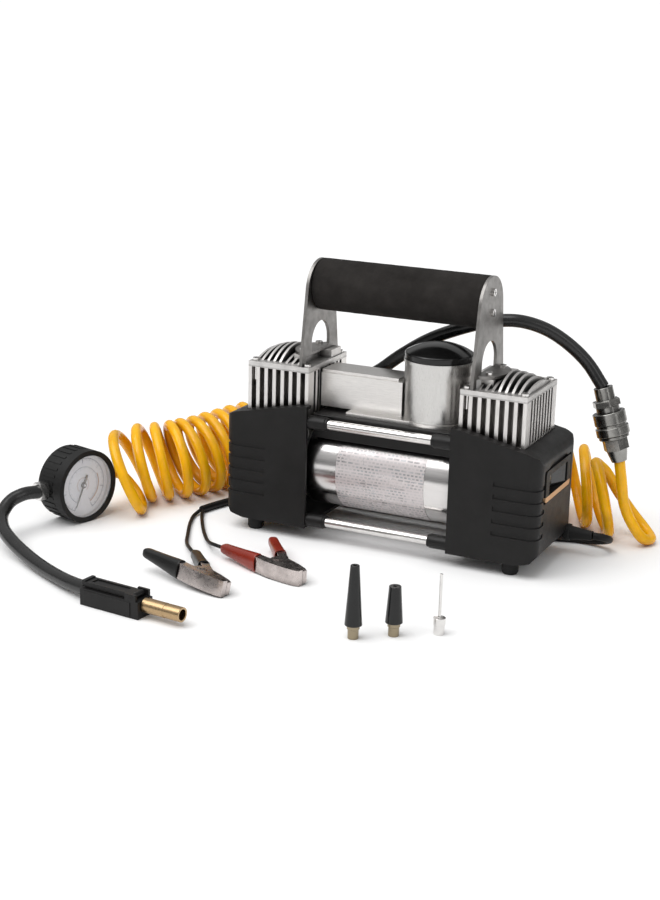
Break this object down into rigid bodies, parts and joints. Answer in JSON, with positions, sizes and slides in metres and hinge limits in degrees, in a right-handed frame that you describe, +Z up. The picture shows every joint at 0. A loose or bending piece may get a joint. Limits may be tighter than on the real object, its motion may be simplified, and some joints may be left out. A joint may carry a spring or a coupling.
{
  "type": "air compressor",
  "caption": "Portable twin-cylinder car air compressor with motor, finned heads, tank, carry handle, coiled air hose, gauge, clip-on chuck, battery clamps and nozzles",
  "frame": {"origin": "on the floor, at the centre of the four feet", "axes": "+X along the motor shaft towards the switch end, -Y towards the front with the label, +Z up"},
  "size_m": [0.4724, 0.4117, 0.2244],
  "materials": {
    "cover_plastic": "moulded near-black plastic with a fine sheen",
    "black_rubber": "soft black rubber",
    "bright_steel": "bright plated steel",
    "label_film": "pale grey plastic film",
    "magnet": "dark ferrite",
    "brass": "turned brass",
    "winding": "lacquered laminations and copper",
    "cast_alloy": "die-cast alloy, lightly blasted",
    "dull_steel": "plated sheet steel",
    "black_plastic": "black plastic",
    "brushed_alloy": "brushed bright metal",
    "gloss_black": "polished black plastic",
    "bracket_steel": "dark grey coated steel sheet with bright cut edges",
    "foam": "black closed-cell foam",
    "bronze_trim": "bronze-coloured trim",
    "black_hose": "smooth black rubber hose with a sheen",
    "amber_hose": "clear amber polyurethane",
    "dial_face": "white printed dial",
    "lens": "clear lens",
    "lead_pvc": "black PVC sheath",
    "red_pvc": "red PVC sleeve"
  },
  "bodies": {
    "base": {"cover_left": "cover_plastic", "cover_right": "cover_plastic", "feet": "black_rubber", "motor_can": "bright_steel", "motor_label": "label_film", "magnets": "magnet", "brush_gear": "brass", "blocks": "cast_alloy", "liners": "dull_steel", "valve_plates": "dull_steel", "heads": "cast_alloy", "screws": "bright_steel", "tie_rods": "bright_steel", "rod_collars": "black_plastic", "deck": "black_plastic", "manifold": "brushed_alloy", "tank": "brushed_alloy", "tank_cap": "gloss_black", "outlet_elbow": "bright_steel", "brackets": "bracket_steel", "grip_core": "dull_steel", "foam_grip": "foam", "switch_bezel": "bronze_trim", "cable_gland": "black_rubber", "delivery_hose": "black_hose", "coupler_socket": "bright_steel", "coupler_plug": "bright_steel", "recoil_feed": "amber_hose", "recoil_coil": "amber_hose", "recoil_tail": "amber_hose", "gauge_body": "bright_steel", "gauge_boot": "black_rubber", "gauge_dial": "dial_face", "gauge_lens": "lens", "gauge_hose": "black_hose", "chuck_body": "black_plastic", "chuck_barrel": "brass", "power_lead": "lead_pvc", "power_hank": "lead_pvc", "power_tail": "lead_pvc", "clamp_wires": "lead_pvc", "clamp_bases": "dull_steel", "clamp_springs": "dull_steel", "black_sleeve": "gloss_black", "red_sleeve": "red_pvc"},
    "crank": {"armature": "winding", "crankshaft": "bright_steel"},
    "piston_left": {"piston_left": "cast_alloy"},
    "piston_right": {"piston_right": "cast_alloy"},
    "switch": {"rocker": "gloss_black"},
    "needle": {"gauge_needle": "gloss_black"},
    "lever": {"chuck_lever": "black_plastic"},
    "sleeve": {"coupler_sleeve": "bright_steel"},
    "black_jaw": {"black_jaw": "dull_steel", "black_jaw_sleeve": "gloss_black"},
    "red_jaw": {"red_jaw": "dull_steel", "red_jaw_sleeve": "red_pvc"},
    "long_nozzle": {"adaptor_long": "gloss_black"},
    "short_nozzle": {"adaptor_short": "gloss_black"},
    "needle_nozzle": {"adaptor_needle": "bright_steel"}
  },
  "joints": [
    {"name": "crank_spin", "type": "hinge", "parent": "base", "child": "crank", "pos_m": [0, 0, 0.058], "axis": [1, 0, 0], "continuous": true},
    {"name": "piston_left_stroke", "type": "slide", "parent": "base", "child": "piston_left", "axis": [0, 0, 1], "range_m": [-0.016, 0]},
    {"name": "piston_right_stroke", "type": "slide", "parent": "base", "child": "piston_right", "axis": [0, 0, 1], "range_m": [0, 0.016]},
    {"name": "switch_rock", "type": "hinge", "parent": "base", "child": "switch", "pos_m": [0.1286, 0, 0.072], "axis": [0, 0, 1], "range_deg": [0, 14]},
    {"name": "needle_sweep", "type": "hinge", "parent": "base", "child": "needle", "pos_m": [-0.238, -0.09, 0.0305], "axis": [-0.9659, 0.2588, 0], "range_deg": [0, 310], "stiffness_Nm_per_rad": 0.00002},
    {"name": "lever_flip", "type": "hinge", "parent": "base", "child": "lever", "pos_m": [-0.0943, -0.24571, 0.0156], "axis": [0.1132, 0.9936, 0], "range_deg": [0, 90]},
    {"name": "sleeve_slide", "type": "slide", "parent": "base", "child": "sleeve", "axis": [-0.2924, 0, 0.9563], "range_m": [0, 0.004], "stiffness_N_per_m": 300, "springref_m": -0.002},
    {"name": "black_jaw_open", "type": "hinge", "parent": "base", "child": "black_jaw", "pos_m": [-0.08362, -0.17557, 0.00887], "axis": [0.1295, 0.1401, 0.9816], "range_deg": [0, 30], "stiffness_Nm_per_rad": 0.4, "springref_deg": -11.46},
    {"name": "red_jaw_open", "type": "hinge", "parent": "base", "child": "red_jaw", "pos_m": [-0.04432, -0.12627, 0.00732], "axis": [0.0192, -0.0184, 0.9996], "range_deg": [0, 30], "stiffness_Nm_per_rad": 0.4, "springref_deg": -11.46},
    {"name": "long_nozzle_lift", "type": "slide", "parent": "base", "child": "long_nozzle", "axis": [0, 0, 1], "range_m": [0, 0.1]},
    {"name": "short_nozzle_lift", "type": "slide", "parent": "base", "child": "short_nozzle", "axis": [0, 0, 1], "range_m": [0, 0.1]},
    {"name": "needle_nozzle_lift", "type": "slide", "parent": "base", "child": "needle_nozzle", "axis": [0, 0, 1], "range_m": [0, 0.1]}
  ]
}
